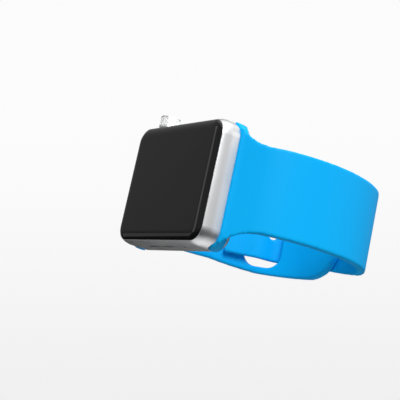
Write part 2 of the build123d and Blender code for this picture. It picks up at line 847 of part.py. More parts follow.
# ---------------------------------------------------------------- side button
button_flange = 0.4
button_flange_thickness = 0.5
button_round = 0.3
stub_radius = 0.7
stub_length = 0.5
flange_top = cavity_half_width - 0.05
flange_bottom = flange_top - button_flange_thickness
button_switch_top = flange_bottom - stub_length - button_travel - press_gap
button_bracket_height = button_switch_top - 0.8
with BuildPart() as side_button_cap:
    with BuildSketch(level(flange_top)):
        with Locations((button_place, button_depth)):
            SlotOverall(button_length, button_width)
    extrude(amount=half_width + button_proud - flange_top)
    fillet(side_button_cap.edges().group_by(Axis.Z)[-1], button_round)
    with BuildSketch(level(flange_bottom)):
        with Locations((button_place, button_depth)):
            SlotOverall(button_length + 2 * button_flange, button_width + 2 * button_flange)
    extrude(amount=flange_top - flange_bottom)
    with BuildSketch(level(flange_bottom)):
        with Locations((button_place, button_depth)):
            Circle(stub_radius)
    extrude(amount=-stub_length)
save(side_button_cap.part, "side_button_cap")

button_switch_length = 3.0
button_switch_width = 2.2
button_switch_body = 0.5
button_dome_radius = 0.85
with BuildPart() as side_button_switch:
    with BuildSketch(level(button_bracket_height)):
        with Locations((button_place, button_depth)):
            RectangleRounded(button_switch_length, button_switch_width, switch_corner)
    extrude(amount=button_switch_body)
    with BuildSketch(level(button_bracket_height + button_switch_body)):
        with Locations((button_place, button_depth)):
            Circle(button_dome_radius)
    extrude(amount=button_switch_top - button_bracket_height - button_switch_body)
save(side_button_switch.part, "side_button_switch")

button_bracket_half = 4.6
button_bracket_width = 2.4
with BuildPart() as side_button_bracket:
    with BuildSketch(facing(button_depth + button_bracket_width / 2)):
        with BuildLine():
            Polyline(
                (button_place - button_bracket_half, button_bracket_height),
                (button_place + button_bracket_half, button_bracket_height),
                (button_place + button_bracket_half, button_bracket_height - bracket_thickness),
                (button_place - button_bracket_half, button_bracket_height - bracket_thickness),
                close=True)
        make_face()
    extrude(amount=button_bracket_width)
save(side_button_bracket.part, "side_button_bracket")

# ---------------------------------------------------------------- rear cover and sensors
# A domed ceramic window closes the back. Four lenses in it serve the pulse sensor, which sits inside
# the ring of the charging coil and its ferrite.
cover_seat = case_back - cover_flange
dome_top = case_back + cover_dome
dome_edge = 0.25
well_depth = cover_seat + 0.35
cover_plug_depth = cover_seat - 0.15
lens_gap = 0.02
lens_spots = [(lens_circle, 0), (0, lens_circle), (-lens_circle, 0), (0, -lens_circle)]


def dome_profile(inner_radius, bottom):
    """Half section of the dome about the display's axis, drawn across x = 0."""
    with BuildSketch(across()) as profile:
        with BuildLine():
            TangentArc((dome_top, 0), (case_back + dome_edge, cover_radius), tangent=(0, 1))
            Polyline(
                (case_back + dome_edge, cover_radius),
                (cover_seat, cover_radius),
                (cover_seat, inner_radius),
                (bottom, inner_radius),
                (bottom, 0),
                (dome_top, 0))
        make_face()
    return profile.sketch


display_axis = Axis((x_case, y_case, z_case), (0, 1, 0))
with BuildPart() as rear_cover:
    revolve(dome_profile(cover_hole_radius - fit_gap, cover_plug_depth), axis=display_axis)
    with BuildSketch(facing(well_depth)):
        Circle(sensor_board_radius + 2 * fit_gap)
    extrude(amount=through, mode=Mode.SUBTRACT)
    with BuildSketch(facing(dome_top + spare)):
        with Locations(*lens_spots):
            Circle(lens_radius + lens_gap)
    extrude(amount=through, mode=Mode.SUBTRACT)
save(rear_cover.part, "rear_cover")

with BuildPart() as sensor_lenses:
    revolve(dome_profile(cover_hole_radius, cover_plug_depth), axis=display_axis)
    with BuildSketch(facing(dome_top + spare)):
        with Locations(*lens_spots):
            Circle(lens_radius)
    extrude(amount=dome_top + spare - well_depth - lens_gap, mode=Mode.INTERSECT)
save(sensor_lenses.part, "sensor_lenses")

with BuildPart() as rear_gasket:
    with BuildSketch(facing(cover_seat)):
        Circle(cover_radius - fit_gap)
        Circle(cover_hole_radius, mode=Mode.SUBTRACT)
    extrude(amount=gasket_thickness)
save(rear_gasket.part, "rear_gasket")

sensor_board_depth = cover_seat - 0.2
sensor_board_thickness = 0.4
diode_height = 0.45
lamp_length = 1.0
lamp_width = 1.4
lamp_pitch = 1.3
photodiode_size = 2.4
with BuildPart() as sensor_board:
    with BuildSketch(facing(sensor_board_depth)):
        Circle(sensor_board_radius)
    extrude(amount=sensor_board_thickness)
save(sensor_board.part, "sensor_board")

with BuildPart() as sensor_leds:
    with BuildSketch(facing(sensor_board_depth + diode_height)):
        for spot in (lens_spots[0], lens_spots[2]):
            with Locations(spot):
                with GridLocations(lamp_pitch, 0, 2, 1):
                    Rectangle(lamp_length, lamp_width)
    extrude(amount=diode_height)
save(sensor_leds.part, "sensor_leds")

with BuildPart() as sensor_photodiodes:
    with BuildSketch(facing(sensor_board_depth + diode_height)):
        with Locations(lens_spots[1], lens_spots[3]):
            Rectangle(photodiode_size, photodiode_size)
    extrude(amount=diode_height)
save(sensor_photodiodes.part, "sensor_photodiodes")

magnet_depth = sensor_board_depth - sensor_board_thickness - fit_gap
magnet_thickness = 0.6
with BuildPart() as alignment_magnet:
    with BuildSketch(facing(magnet_depth)):
        Circle(sensor_board_radius)
    extrude(amount=magnet_thickness)
save(alignment_magnet.part, "alignment_magnet")

coil_back = cavity_back + 0.25
coil_thickness = 0.5
ferrite_back = coil_back - coil_thickness - 0.05
ferrite_thickness = 0.4
ferrite_margin = 0.2
with BuildPart() as charging_coil:
    with BuildSketch(facing(coil_back)):
        Circle(coil_outer)
        Circle(coil_inner, mode=Mode.SUBTRACT)
    extrude(amount=coil_thickness)
save(charging_coil.part, "charging_coil")

with BuildPart() as ferrite_disc:
    with BuildSketch(facing(ferrite_back)):
        Circle(coil_outer + ferrite_margin)
        Circle(coil_inner - ferrite_margin, mode=Mode.SUBTRACT)
    extrude(amount=ferrite_thickness)
save(ferrite_disc.part, "ferrite_disc")

# ---------------------------------------------------------------- band release buttons
for name, side in (("release_button_6", 1), ("release_button_12", -1)):
    with BuildPart() as release_button:
        with BuildSketch(facing(case_back)):
            with Locations((side * release_place, 0)):
                SlotOverall(release_length, release_width, rotation=90)
        extrude(amount=case_back - release_inner)
        with BuildSketch(facing(release_inner + flange_thickness)):
            with Locations((side * release_place, 0)):
                SlotOverall(release_length + 2 * release_flange, release_width + 2 * release_flange,
                            rotation=90)
        extrude(amount=flange_thickness)
    save(release_button.part, name)

# ---------------------------------------------------------------- band
# Both straps are moulded elastomer. Each ends in a bead that slides into the case's slot, over a
# steel core, with a spring latch that the release button presses in.
latch_floor = slot_mid_depth + bead_radius - 0.7
core_radius = bead_radius - 1.05
core_half = half_width - 4.0
hidden_run = 6.0             # strap drawn back into the case before it is trimmed


def strap_lines(moves, inset, side, back_run):
    """Edges of one face of a strap, inset from its outer line."""
    heading = root_heading
    start = (root_point[0] - inset * sin(heading) - back_run * cos(heading),
             root_point[1] + inset * cos(heading) - back_run * sin(heading))
    point = start
    for index, move in enumerate(moves):
        if len(move) == 1:
            run = move[0] + (back_run if index == 0 else 0.0)
            end, heading = turned(point, heading, (run,))
            Line((side * point[0], point[1]), (side * end[0], end[1]))
        else:
            radius = move[0] - inset if move[1] > 0 else move[0] + inset
            middle, _ = turned(point, heading, (radius, move[1] / 2))
            end, heading = turned(point, heading, (radius, move[1]))
            ThreePointArc((side * point[0], point[1]), (side * middle[0], middle[1]),
                          (side * end[0], end[1]))
        point = end
    return (side * start[0], start[1]), (side * point[0], point[1])


def ribbon(moves, side):
    """Extrude the strap's plan shape between its outer and inner faces."""
    with BuildSketch(level()) as plan:
        with BuildLine():
            outer_start, outer_end = strap_lines(moves, 0.0, side, hidden_run)
            inner_start, inner_end = strap_lines(moves, strap_thickness, side, hidden_run)
            Line(outer_start, inner_start)
            Line(outer_end, inner_end)
        make_face()
    extrude(plan.sketch, amount=lug_half_width, both=True)


widen_start = loop_back - 22.0
widen_end = loop_back - 9.0
beyond = loop_back + 3.0


def flare_outline(closure_half):
    """Keep the strap inside its width: flared at the lug, straight, then the closure's width."""
    with BuildSketch(across()) as outline:
        with BuildLine():
            tip = (strap_front, lug_half_width)
            narrow = (flare_end_depth, strap_half_width)
            Line((tip[0], 0), tip)
            TangentArc(narrow, tip, tangent=(-1, 0))
            Polyline(narrow, (widen_start, strap_half_width), (widen_end, closure_half),
                     (beyond, closure_half), (beyond, 0))
            Line((beyond, 0), (tip[0], 0))
        make_face()
        mirror(about=Plane.XZ)
    extrude(outline.sketch, amount=2 * case_length, both=True, mode=Mode.INTERSECT)


def trim_to_case():
    """Wrap the flare round the case's corners and keep it clear of the case."""
    with BuildSketch(facing(beyond)) as allowed:
        Rectangle(4 * case_length, 2 * closure_half_width + 0.2)
        RectangleRounded(case_length + 2 * horn_reach, case_width + 2 * lug_proud,
                         horn_corner + lug_proud)
    extrude(allowed.sketch, amount=beyond + through, mode=Mode.INTERSECT)
    with BuildSketch(facing(case_back + spare)) as case_outline:
        RectangleRounded(case_length + 2 * lug_gap, case_width + 2 * lug_gap, case_corner + lug_gap)
    extrude(case_outline.sketch, amount=case_back + through, mode=Mode.SUBTRACT)


def latch_space(side, mode=Mode.ADD):
    """The spring latch, sunk in the bead in line with the release button."""
    with BuildSketch(facing(latch_floor)) as outline:
        with Locations((side * release_place, 0)):
            RectangleRounded(latch_width, latch_length, latch_corner)
    extrude(outline.sketch, amount=latch_thickness, mode=mode)


def lug_bead(side):
    """The bead and neck that fill the case's slot and stand a little proud at its ends."""
    with BuildPart(mode=Mode.PRIVATE) as bead:
        with BuildSketch(level()):
            with Locations((side * bead_place, slot_mid_depth)):
                Circle(bead_radius)
            with Locations((side * (bead_place + half_length + spare) / 2, slot_mid_depth)):
                Rectangle(half_length + spare - bead_place, neck_thickness)
        extrude(amount=half_width + lug_proud, both=True)
        with BuildSketch(facing(case_back)):
            RectangleRounded(case_length + 2 * lug_proud, case_width + 2 * lug_proud,
                             case_corner + lug_proud)
        extrude(amount=case_back + through, mode=Mode.INTERSECT)
        with BuildSketch(facing(case_back)):
            with Locations((side * release_place, 0)):
                RectangleRounded(latch_pocket_width, latch_pocket_length, latch_pocket_corner)
        extrude(amount=case_back - latch_floor, mode=Mode.SUBTRACT)
        with BuildSketch(level()):
            with Locations((side * bead_place, slot_mid_depth)):
                Circle(core_radius)
        extrude(amount=core_half, both=True, mode=Mode.SUBTRACT)
        latch_space(side, Mode.SUBTRACT)
    add(bead.part)


hole_spots = []
flat_start = sum(m[0] if len(m) == 1 else m[0] * radians(abs(m[1])) for m in long_moves()[:4])
pin_distance = flat_start + back_point[0] - pin_place
for step in range(-holes_each_way, holes_each_way + 1):
    distance = pin_distance + step * hole_pitch
    hole_spots.append(walk(root_point, root_heading, long_moves(), distance))

with BuildPart() as strap_long:
    ribbon(long_moves(), 1)
    flare_outline(strap_half_width)
    with BuildSketch(facing(beyond)):
        with BuildLine():
            Polyline((2 * case_length, 2 * half_width), (half_length, 2 * half_width),
                     (half_length, strap_half_width), (-half_length / 2, tail_half_width),
                     (-2 * case_length, tail_half_width), (-2 * case_length, 0),
                     (2 * case_length, 0), close=True)
        make_face()
        mirror(about=Plane.XZ)
    extrude(amount=beyond + through, mode=Mode.INTERSECT)
    trim_to_case()
    lug_bead(1)
    for point, heading in hole_spots:
        normal = Vector(sin(heading), -cos(heading), 0)
        with BuildSketch(Plane(origin=(x_case + point[0] + normal.X, y_case + point[1] + normal.Y, z_case),
                               x_dir=(0, 0, 1), z_dir=normal)):
            Circle(hole_radius)
        extrude(amount=-strap_thickness - 2 * spare, mode=Mode.SUBTRACT)
save(strap_long.part, "strap_long")

corner_centre = (-closure_half_flat, short_outer - corner_radius)
tuck_slot_angle = radians(dive_start + tuck_slot_lag)
slot_direction = Vector(-sin(tuck_slot_angle), cos(tuck_slot_angle), 0)
with BuildPart() as strap_short:
    ribbon(short_moves(), -1)
    flare_outline(closure_half_width)
    trim_to_case()
    lug_bead(-1)
    tip_face = strap_short.faces().sort_by(Axis.X)[-1]
    fillet(tip_face.edges().sort_by(SortBy.LENGTH)[:2], short_tip_round)
    with BuildSketch(Plane(origin=(x_case + corner_centre[0] + slot_direction.X * (corner_radius + spare),
                                   y_case + corner_centre[1] + slot_direction.Y * (corner_radius + spare),
                                   z_case), x_dir=(0, 0, 1), z_dir=slot_direction)):
        RectangleRounded(tuck_slot_width, tuck_slot_length, tuck_slot_corner)
    extrude(amount=-strap_thickness - 4 * spare, mode=Mode.SUBTRACT)
    with BuildSketch(facing(loop_back)):
        with Locations((pin_place, 0)):
            Circle(pin_radius + pin_gap)
    extrude(amount=3 * strap_thickness, mode=Mode.SUBTRACT)
    with BuildSketch(facing(short_outer - strap_thickness + pin_base_thickness)):
        with Locations((pin_place, 0)):
            Circle(pin_base_radius + pin_gap)
    extrude(amount=through, mode=Mode.SUBTRACT)
save(strap_short.part, "strap_short")

for name, side in (("lug_core_6", 1), ("lug_core_12", -1)):
    with BuildPart() as lug_core:
        with BuildSketch(level()):
            with Locations((side * bead_place, slot_mid_depth)):
                Circle(core_radius)
        extrude(amount=core_half, both=True)
        latch_space(side, Mode.SUBTRACT)
    save(lug_core.part, name)

for name, side in (("lug_latch_6", 1), ("lug_latch_12", -1)):
    with BuildPart() as lug_latch:
        latch_space(side)
    save(lug_latch.part, name)

with BuildPart() as closure_pin:
    with BuildSketch(facing(loop_back + fit_gap + pin_head_thickness)):
        with Locations((pin_place, 0)):
            Circle(pin_head_radius)
    extrude(amount=pin_head_thickness)
    fillet(closure_pin.edges().group_by(Axis.Y)[-1], pin_head_round)
    with BuildSketch(facing(loop_back + fit_gap)):
        with Locations((pin_place, 0)):
            Circle(pin_radius)
    extrude(amount=fit_gap + 2 * strap_thickness + strap_gap - pin_base_thickness)
    with BuildSketch(facing(short_outer - strap_thickness + pin_base_thickness)):
        with Locations((pin_place, 0)):
            Circle(pin_base_radius)
    extrude(amount=pin_base_thickness)
save(closure_pin.part, "closure_pin")
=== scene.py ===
from math import cos, pi, radians, sin

import bmesh
import bpy
from mathutils import Matrix, Vector


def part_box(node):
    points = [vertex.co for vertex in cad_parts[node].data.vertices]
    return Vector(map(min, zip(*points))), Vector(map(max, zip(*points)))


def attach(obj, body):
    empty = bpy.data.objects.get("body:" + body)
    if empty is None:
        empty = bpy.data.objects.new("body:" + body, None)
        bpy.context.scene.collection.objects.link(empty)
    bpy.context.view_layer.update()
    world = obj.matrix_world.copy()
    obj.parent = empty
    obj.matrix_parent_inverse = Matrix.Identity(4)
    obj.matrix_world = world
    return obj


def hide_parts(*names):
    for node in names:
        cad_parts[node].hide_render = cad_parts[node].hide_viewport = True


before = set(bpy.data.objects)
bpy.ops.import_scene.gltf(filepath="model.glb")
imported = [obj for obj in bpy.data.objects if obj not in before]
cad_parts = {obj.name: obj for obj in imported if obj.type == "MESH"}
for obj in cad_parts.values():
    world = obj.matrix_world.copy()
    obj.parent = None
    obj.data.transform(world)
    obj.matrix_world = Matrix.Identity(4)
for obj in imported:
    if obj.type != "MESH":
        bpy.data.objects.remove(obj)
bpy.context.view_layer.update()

# ---------------------------------------------------------------- camera
# A long lens close to the watch, a little below its middle, so that the display, the 6 o'clock end
# and the inside of the band all show. Its direction and roll are about the middle of the case.
MM = 0.001
case_low, case_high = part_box("case_shell")
back_depth = 6.0 * MM
case_middle = Vector(((case_low.x + case_high.x) / 2, case_high.y - back_depth,
                      (case_low.z + case_high.z) / 2))
view_azimuth, view_elevation, view_roll = radians(54.66), radians(-10.81), radians(12.27)
view_distance = 282.0 * MM
aim_right, aim_up = 5.46 * MM, -4.0 * MM

backward = Vector((sin(view_azimuth) * cos(view_elevation),
                   -cos(view_azimuth) * cos(view_elevation),
                   sin(view_elevation)))
level_right = (-backward).cross(Vector((0, 0, 1))).normalized()
level_up = level_right.cross(-backward)
right = cos(view_roll) * level_right + sin(view_roll) * level_up
up = -sin(view_roll) * level_right + cos(view_roll) * level_up

sensor_width = 36.0
focal_length = 89.03
camera = bpy.data.objects.new("camera", bpy.data.cameras.new("camera"))
bpy.context.scene.collection.objects.link(camera)
camera.data.sensor_width = sensor_width
camera.data.lens = focal_length
camera.data.clip_start = 0.01
camera.data.clip_end = 20.0
camera.matrix_world = Matrix.Translation(
    case_middle + aim_right * right + aim_up * up + view_distance * backward
) @ Matrix((right, up, backward)).transposed().to_4x4()
bpy.context.scene.camera = camera
bpy.context.scene.view_settings.view_transform = "Standard"


# ---------------------------------------------------------------- floor
# The watch hangs over a plain pale floor, painted matte, that fades out into a white room. Its
# finish is the first of many, so the two classes that build every material are here.
class Signal:
    """One output socket in a material; arithmetic on signals adds the Math nodes."""

    def __init__(self, finish, socket):
        self.finish = finish
        self.socket = socket

    def math(self, operation, first, second):
        return self.finish.node("ShaderNodeMath", {"operation": operation},
                                {0: first, 1: second})

    def __add__(self, other):
        return self.math("ADD", self, other)

    def __mul__(self, other):
        return self.math("MULTIPLY", self, other)

    __radd__ = __add__
    __rmul__ = __mul__


class Finish:
    """One Principled material, built a node at a time with node()."""

    def __init__(self, name):
        self.material = bpy.data.materials.new(name)
        self.material.use_nodes = True
        self.tree = self.material.node_tree
        self.surface = self.tree.nodes["Principled BSDF"]

    def node(self, kind, settings=None, inputs=None, output=0):
        made = self.tree.nodes.new(kind)
        for key, value in (settings or {}).items():
            setattr(made, key, value)
        for key, value in (inputs or {}).items():
            self.feed(made.inputs[key], value)
        return Signal(self, made.outputs[output])

    def feed(self, socket, value):
        if isinstance(value, Signal):
            self.tree.links.new(value.socket, socket)
        else:
            socket.default_value = value

    def set(self, **values):
        for key, value in values.items():
            self.feed(self.surface.inputs[key.replace("_", " ")], value)
        return self

    def place(self, centre=(0.0, 0.0, 0.0), turn=(0.0, 0.0, 0.0), scale=(1.0, 1.0, 1.0)):
        """Object coordinates about a centre, turned and scaled."""
        start = self.node("ShaderNodeTexCoord", output="Object")
        moved = self.node("ShaderNodeVectorMath", {"operation": "SUBTRACT"},
                          {0: start, 1: centre})
        return self.node("ShaderNodeMapping", {},
                         {"Vector": moved, "Rotation": turn, "Scale": scale})

    def noise(self, scale, detail=2.0, roughness=0.5, vector=None):
        """Even noise; the scale is in lumps per metre."""
        return self.node("ShaderNodeTexNoise", {}, {
            "Vector": vector or self.place(), "Scale": scale,
            "Detail": detail, "Roughness": roughness})

    def spread(self, signal, low, high, low_in=0.3, high_in=0.7):
        """A signal stretched from its own range to the range low to high."""
        return self.node("ShaderNodeMapRange", {}, {
            "Value": signal, "From Min": low_in, "From Max": high_in,
            "To Min": low, "To Max": high})

    def blend(self, factor, first, second):
        """A colour between two colours."""
        return self.node("ShaderNodeMix", {"data_type": "RGBA"},
                         {0: factor, 6: (*first, 1.0), 7: (*second, 1.0)}, output=2)

    def bump(self, height, strength, distance):
        return self.node("ShaderNodeBump", {}, {
            "Height": height, "Strength": strength, "Distance": distance})

    def dress(self, *nodes):
        """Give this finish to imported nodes."""
        for name in nodes:
            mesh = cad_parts[name].data
            mesh.materials.clear()
            mesh.materials.append(self.material)


table_tilt = radians(2.0)
table_up = (cos(table_tilt) * up + sin(table_tilt) * backward).normalized()
table_drop = 120.0 * MM
table_middle = case_middle - table_drop * table_up
floor_radius = 1.2
fade_start, fade_end = 0.03, 0.13
floor_white = 0.88
floor_segments = 64

shape = bmesh.new()
bmesh.ops.create_circle(shape, cap_ends=True, segments=floor_segments, radius=floor_radius)
bmesh.ops.rotate(shape, matrix=Vector((0, 0, 1)).rotation_difference(table_up).to_matrix(),
                 verts=shape.verts, cent=(0, 0, 0))
bmesh.ops.translate(shape, vec=table_middle, verts=shape.verts)
floor_mesh = bpy.data.meshes.new("floor")
shape.to_mesh(floor_mesh)
shape.free()
floor = bpy.data.objects.new("floor", floor_mesh)
bpy.context.scene.collection.objects.link(floor)
floor_finish = Finish("floor_paint")
floor_finish.set(Base_Color=(floor_white, floor_white, floor_white, 1.0), Roughness=0.6,
                 Specular_IOR_Level=0.2)
reach = floor_finish.node("ShaderNodeVectorMath", {"operation": "LENGTH"},
                          {0: floor_finish.place(tuple(table_middle))}, output="Value")
floor_finish.set(Alpha=floor_finish.spread(reach, 1.0, 0.0, fade_start, fade_end))
floor_mesh.materials.append(floor_finish.material)

# ---------------------------------------------------------------- room and lamps
# A white room, darker below and on the camera's side. Soft lamps stand overhead, in front of the
# display, on either side of the 6 o'clock end and low at the left.
# The lower backdrop brightness is painted shade, seen by the camera towards the floor.
room_white, backdrop_shade_below = 0.97, 0.86
room = bpy.data.worlds.new("room")
room.use_nodes = True
bpy.context.scene.world = room
tree = room.node_tree
direction = tree.nodes.new("ShaderNodeTexCoord")


def falloff(way, near, far, low, high):
    """Brightness that changes from low to high as a direction swings towards a way."""
    toward = tree.nodes.new("ShaderNodeVectorMath")
    toward.operation = "DOT_PRODUCT"
    toward.inputs[1].default_value = Vector(way).normalized()
    tree.links.new(direction.outputs["Generated"], toward.inputs[0])
    shade = tree.nodes.new("ShaderNodeMapRange")
    shade.interpolation_type = "SMOOTHSTEP"
    span = {"From Min": near, "From Max": far, "To Min": low, "To Max": high}
    for key, value in span.items():
        shade.inputs[key].default_value = value
    tree.links.new(toward.outputs["Value"], shade.inputs["Value"])
    return shade.outputs["Result"]


def product(first, second):
    """Two brightnesses multiplied."""
    node = tree.nodes.new("ShaderNodeMath")
    node.operation = "MULTIPLY"
    tree.links.new(first, node.inputs[0])
    tree.links.new(second, node.inputs[1])
    return node.outputs["Value"]


behind = falloff((0.45, 0.90, 0.10), -0.20, 0.90, 0.30, 0.95)
skyward = falloff(table_up, -0.30, 0.40, 0.12, 1.0)
seen = tree.nodes.new("ShaderNodeLightPath")
level = tree.nodes.new("ShaderNodeMix")
# The backdrop the camera sees darkens towards the floor: painted shade standing for the floor's
# shade.
tree.links.new(falloff(table_up, -0.30, 0.05, backdrop_shade_below, room_white), level.inputs["B"])
tree.links.new(seen.outputs["Is Camera Ray"], level.inputs["Factor"])
tree.links.new(product(behind, skyward), level.inputs["A"])
tree.links.new(level.outputs["Result"], tree.nodes["Background"].inputs["Strength"])
tree.nodes["Background"].inputs["Color"].default_value = (1.0, 1.0, 1.0, 1.0)


def softbox(name, direction, distance, width, height, radiance):
    """A soft rectangular lamp that faces the middle of the case from a direction."""
    lamp = bpy.data.lights.new(name, "AREA")
    lamp.shape = "RECTANGLE"
    lamp.size, lamp.size_y = width, height
    lamp.energy = radiance * pi * width * height
    box = bpy.data.objects.new(name, lamp)
    way = Vector(direction).normalized()
    box.matrix_world = (Matrix.Translation(case_middle + distance * way)
                        @ way.to_track_quat("Z", "Y").to_matrix().to_4x4())
    bpy.context.scene.collection.objects.link(box)


softbox("overhead_lamp", (0.1, -0.05, 1.0), 0.8, 1.0, 1.0, 0.8)
softbox("key_lamp", (0.76, -0.44, 0.66), 0.9, 0.4, 0.4, 12.5)
softbox("right_lamp", (0.66, 0.72, 0.20), 0.9, 0.5, 0.8, 0.55)
softbox("front_lamp", (-0.42, -0.88, 0.19), 0.8, 0.22, 0.8, 0.9)
softbox("low_lamp", (-0.80, -0.55, -0.30), 0.8, 0.5, 0.20, 0.35)

# ---------------------------------------------------------------- case
# One block of aluminium, milled, bead blasted and clear anodised. The blasting leaves an even fine
# grain that spreads its highlights; the band release buttons and side button get the same finish.
def blasted(name, light, dark, rough):
    """Blasted metal: fine grain in the bump, and a slow variation in tone and roughness."""
    finish = Finish(name)
    cloud = finish.noise(110.0, 3.0)
    grain = finish.noise(9000.0, 2.0)
    finish.set(Metallic=1.0,
               Base_Color=finish.blend(cloud, light, dark),
               Roughness=finish.spread(cloud + 0.4 * grain, rough - 0.03, rough + 0.05, 0.45, 0.95),
               Normal=finish.bump(grain, 0.30, 0.02 * MM))
    return finish


case_finish = blasted("blasted_aluminium", (0.80, 0.805, 0.815), (0.74, 0.745, 0.755), 0.33)
case_finish.dress("case_shell")
button_finish = blasted("blasted_buttons", (0.83, 0.835, 0.845), (0.78, 0.785, 0.795), 0.30)
button_finish.dress("side_button_cap", "release_button_6", "release_button_12")

# ---------------------------------------------------------------- cover glass
# Strengthened glass, ground down all round its edge and backed with black. Faint handling marks
# break up its gloss.
glass_finish = Finish("display_glass")
smear = glass_finish.noise(55.0, 5.0, 0.6)
wipe = glass_finish.noise(220.0, 3.0, 0.5, glass_finish.place(scale=(1.0, 1.0, 0.15)))
glass_finish.set(Base_Color=glass_finish.blend(smear, (0.0035, 0.0035, 0.004),
                                               (0.006, 0.006, 0.0065)),
                 Roughness=glass_finish.spread(smear + 0.5 * wipe, 0.06, 0.14, 0.55, 0.95),
                 IOR=1.52)
glass_finish.dress("cover_glass")

# ---------------------------------------------------------------- display stack
# Adhesive gasket, the laminated panel, its steel back plate and the ribbon to the main board.
def rubber(name, light, dark):
    """Moulded black rubber with a dusty bloom."""
    finish = Finish(name)
    bloom = finish.noise(400.0, 4.0)
    finish.set(Base_Color=finish.blend(bloom, light, dark),
               Roughness=finish.spread(bloom, 0.55, 0.75),
               Normal=finish.bump(finish.noise(7000.0), 0.2, 0.02 * MM))
    return finish


def brushed(name, light, dark, rough, scale=(1.0, 1.0, 12.0)):
    """Rolled or brushed steel, with its grain drawn out along one axis."""
    finish = Finish(name)
    cloud = finish.noise(150.0, 3.0)
    streaks = finish.noise(2500.0, 3.0, 0.6, finish.place(scale=scale))
    finish.set(Metallic=1.0,
               Base_Color=finish.blend(cloud, light, dark),
               Roughness=finish.spread(streaks, rough - 0.06, rough + 0.08),
               Normal=finish.bump(streaks, 0.15, 0.01 * MM))
    return finish


seal_finish = rubber("seal_rubber", (0.022, 0.022, 0.023), (0.035, 0.035, 0.036))
seal_finish.dress("display_gasket", "rear_gasket", "crown_seals", "port_gaskets")
panel_finish = Finish("panel_laminate")
film = panel_finish.noise(300.0, 2.0)
panel_finish.set(Base_Color=panel_finish.blend(film, (0.008, 0.008, 0.012), (0.014, 0.013, 0.020)),
                 Roughness=panel_finish.spread(film, 0.10, 0.18))
panel_finish.dress("display_panel")
plate_finish = brushed("pressed_steel", (0.62, 0.63, 0.64), (0.54, 0.55, 0.56), 0.32)
plate_finish.dress("display_shield", "battery_tray", "board_shield", "haptic_housing",
                   "crown_bracket", "side_button_bracket")
ribbon_finish = Finish("ribbon_film")
tracks = ribbon_finish.node("ShaderNodeTexWave", {"bands_direction": "Z"}, {
    "Vector": ribbon_finish.place(), "Scale": 700.0, "Distortion": 0.0})
ribbon_finish.set(Base_Color=ribbon_finish.blend(tracks, (0.30, 0.11, 0.02), (0.42, 0.19, 0.05)),
                  Roughness=ribbon_finish.spread(tracks, 0.32, 0.45, 0.0, 1.0),
                  Normal=ribbon_finish.bump(tracks, 0.3, 0.02 * MM))
ribbon_finish.dress("display_flex")

# ---------------------------------------------------------------- battery and main board
# A pouch cell in black film on a steel tray, and a board under dark solder mask. The screws, rods
# and springs are plain machined steel.
cell_finish = Finish("battery_film")
creases = cell_finish.noise(260.0, 5.0, 0.6)
cell_finish.set(Base_Color=cell_finish.blend(creases, (0.028, 0.028, 0.030), (0.045, 0.045, 0.048)),
                Roughness=cell_finish.spread(creases, 0.38, 0.55),
                Normal=cell_finish.bump(creases, 0.25, 0.05 * MM))
cell_finish.dress("battery")
board_finish = Finish("solder_mask")
copper_runs = board_finish.node("ShaderNodeTexBrick", {"offset": 0.5, "squash": 1.0}, {
    "Vector": board_finish.place(turn=(radians(90.0), 0.0, 0.0)), "Scale": 450.0,
    "Mortar Size": 0.03, "Color1": (0.0, 0.0, 0.0, 1.0), "Color2": (0.15, 0.15, 0.15, 1.0),
    "Mortar": (1.0, 1.0, 1.0, 1.0)}, output="Fac")
board_finish.set(Base_Color=board_finish.blend(copper_runs, (0.012, 0.055, 0.032),
                                               (0.035, 0.12, 0.06)),
                 Roughness=board_finish.spread(copper_runs, 0.34, 0.26, 0.0, 1.0),
                 Normal=board_finish.bump(copper_runs, 0.4, 0.03 * MM))
board_finish.dress("main_board", "sensor_board")
antenna_finish = Finish("antenna_plastic")
mottle = antenna_finish.noise(600.0, 3.0)
antenna_finish.set(Base_Color=antenna_finish.blend(mottle, (0.030, 0.030, 0.032),
                                                   (0.048, 0.048, 0.050)),
                   Roughness=antenna_finish.spread(mottle, 0.45, 0.58),
                   Normal=antenna_finish.bump(antenna_finish.noise(5000.0), 0.2, 0.02 * MM))
antenna_finish.dress("antenna", "speaker_module", "crown_bushing", "crown_plunger", "crown_switch",
                     "side_button_switch", "crown_sensor", "port_cover", "microphone")
steel_finish = brushed("machined_steel", (0.66, 0.67, 0.68), (0.58, 0.59, 0.60), 0.26)
steel_finish.dress("case_screws", "haptic_rods", "crown_clip", "crown_drum", "lug_core_6",
                   "lug_core_12", "lug_latch_6", "lug_latch_12")

# ---------------------------------------------------------------- haptic engine
# A sintered tungsten mass between two springs of fine wire, whose turns show as close rings.
mass_finish = Finish("sintered_tungsten")
sinter = mass_finish.noise(3000.0, 3.0)
mass_finish.set(Metallic=1.0,
                Base_Color=mass_finish.blend(sinter, (0.30, 0.30, 0.31), (0.40, 0.40, 0.40)),
                Roughness=mass_finish.spread(sinter, 0.40, 0.55),
                Normal=mass_finish.bump(sinter, 0.3, 0.02 * MM))
mass_finish.dress("haptic_mass")
spring_finish = Finish("spring_wire")
turns_and_gap_shade = spring_finish.node("ShaderNodeTexWave", {"bands_direction": "Z"}, {
    "Vector": spring_finish.place(), "Scale": 1000.0})
# The dark colour between the turns is painted shade in the gaps; the bump gives the turns' shape.
spring_finish.set(Metallic=1.0,
                  Base_Color=spring_finish.blend(turns_and_gap_shade, (0.10, 0.10, 0.10), (0.62, 0.63, 0.64)),
                  Roughness=spring_finish.spread(turns_and_gap_shade, 0.5, 0.25, 0.0, 1.0),
                  Normal=spring_finish.bump(turns_and_gap_shade, 1.0, 0.10 * MM))
spring_finish.dress("haptic_spring_upper", "haptic_spring_lower")

